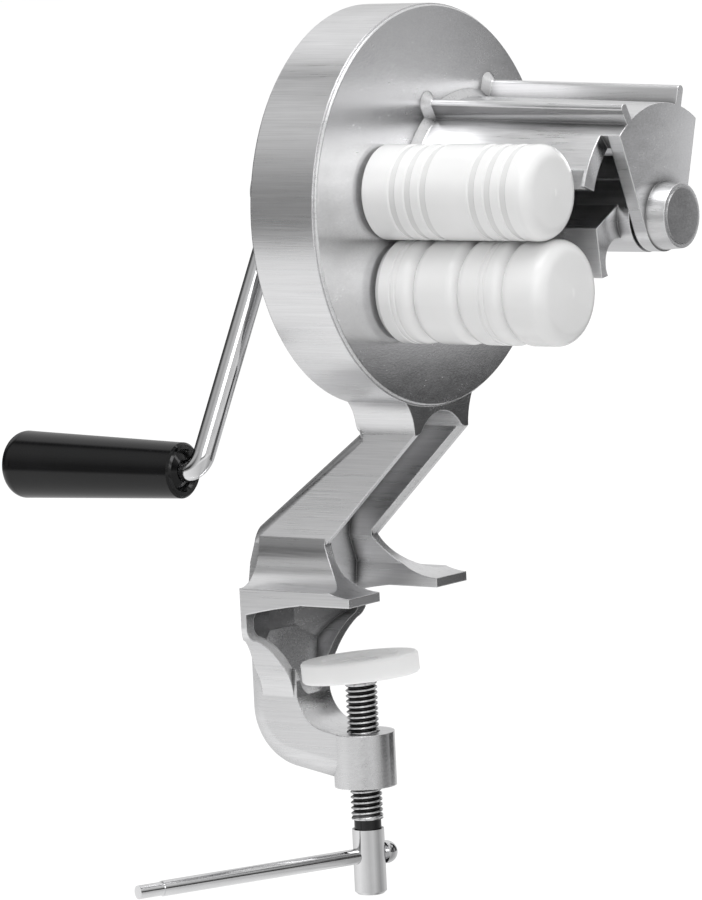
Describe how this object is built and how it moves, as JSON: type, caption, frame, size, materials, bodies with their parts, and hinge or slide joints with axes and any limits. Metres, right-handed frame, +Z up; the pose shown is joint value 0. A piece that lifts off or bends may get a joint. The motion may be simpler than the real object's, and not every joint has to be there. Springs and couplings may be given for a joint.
{
  "type": "clamp-on pasta roller machine",
  "caption": "Hand-cranked clamp-on pasta roller: round gear case with ridged rollers feeding a hooded cutter rotor, on a slanted neck with a screw clamp for a table edge.",
  "frame": {"origin": "on the clamp screw's axis, level with the underside of the jaw fingers, where the table's top surface comes", "axes": "+Z up, +X along the roller axes away from the crank and over the table, +Y across the machine"},
  "size_m": [0.191, 0.1323, 0.2616],
  "materials": {
    "cast_aluminium": "brushed casting, machined faces",
    "steel": "plain turned steel",
    "bright_chrome": "polished plating",
    "bronze": "sintered bush",
    "white_plastic": "translucent moulding",
    "black_plastic": "polished moulding"
  },
  "bodies": {
    "frame": {"body_casting": "cast_aluminium", "front_cover": "cast_aluminium", "cover_screws": "steel", "boss_cap": "steel", "drive_rear_bush": "bronze", "drive_cover_bush": "bronze", "bottom_roller_bush": "bronze", "rotor_rear_bush": "bronze", "rotor_cover_bush": "bronze", "rotor_outboard_bush": "bronze"},
    "crank": {"drive_shaft": "steel", "drive_gear": "steel", "top_roller_gear": "steel", "top_roller": "white_plastic", "crank_washer": "steel", "crank_hub": "bright_chrome", "crank_set_screw": "bright_chrome", "crank_arm": "bright_chrome", "grip_washer": "steel"},
    "lower_roller": {"bottom_roller": "white_plastic", "bottom_roller_shaft": "steel", "bottom_roller_gear": "steel"},
    "rotor": {"cutter_rotor": "cast_aluminium", "rotor_shaft": "steel", "rotor_pinion": "steel"},
    "grip": {"crank_grip": "black_plastic", "grip_end_cap": "black_plastic"},
    "pad_carrier": {"pad_socket": "steel"},
    "screw": {"clamp_screw": "bright_chrome"},
    "pad": {"clamp_pad": "white_plastic"},
    "bar": {"tommy_bar": "bright_chrome", "tommy_bar_ball": "bright_chrome"}
  },
  "joints": [
    {"name": "crank_turn", "type": "hinge", "parent": "frame", "child": "crank", "pos_m": [0, -0.024, 0.1196], "axis": [1, 0, 0], "continuous": true},
    {"name": "lower_roller_turn", "type": "hinge", "parent": "frame", "child": "lower_roller", "pos_m": [0, -0.0186, 0.09103], "axis": [1, 0, 0], "continuous": true},
    {"name": "rotor_turn", "type": "hinge", "parent": "frame", "child": "rotor", "pos_m": [0, 0.0178, 0.1096], "axis": [1, 0, 0], "continuous": true},
    {"name": "grip_spin", "type": "hinge", "parent": "crank", "child": "grip", "pos_m": [-0.04, -0.05202, 0.04158], "axis": [1, 0, 0], "continuous": true},
    {"name": "pad_travel", "type": "slide", "parent": "frame", "child": "pad_carrier", "axis": [0, 0, 1], "range_m": [-0.00552, 0.00902]},
    {"name": "screw_turn", "type": "hinge", "parent": "pad_carrier", "child": "screw", "pos_m": [0, 0, 0], "axis": [0, 0, 1], "range_deg": [-1247.2, 2040.9]},
    {"name": "pad_tilt", "type": "hinge", "parent": "pad_carrier", "child": "pad", "pos_m": [0, 0, -0.0227], "axis": [-0.042, 0.9991, 0], "range_deg": [-0.4, 10]},
    {"name": "bar_slide", "type": "slide", "parent": "screw", "child": "bar", "axis": [0.3659, 0.9307, 0], "range_m": [0, 0.06]}
  ],
  "couplings": [
    {"joint": "lower_roller_turn", "follows": "crank_turn", "ratio": -1},
    {"joint": "rotor_turn", "follows": "crank_turn", "ratio": -1.5},
    {"joint": "pad_travel", "follows": "screw_turn", "m_per_rad": 0.00025266}
  ]
}
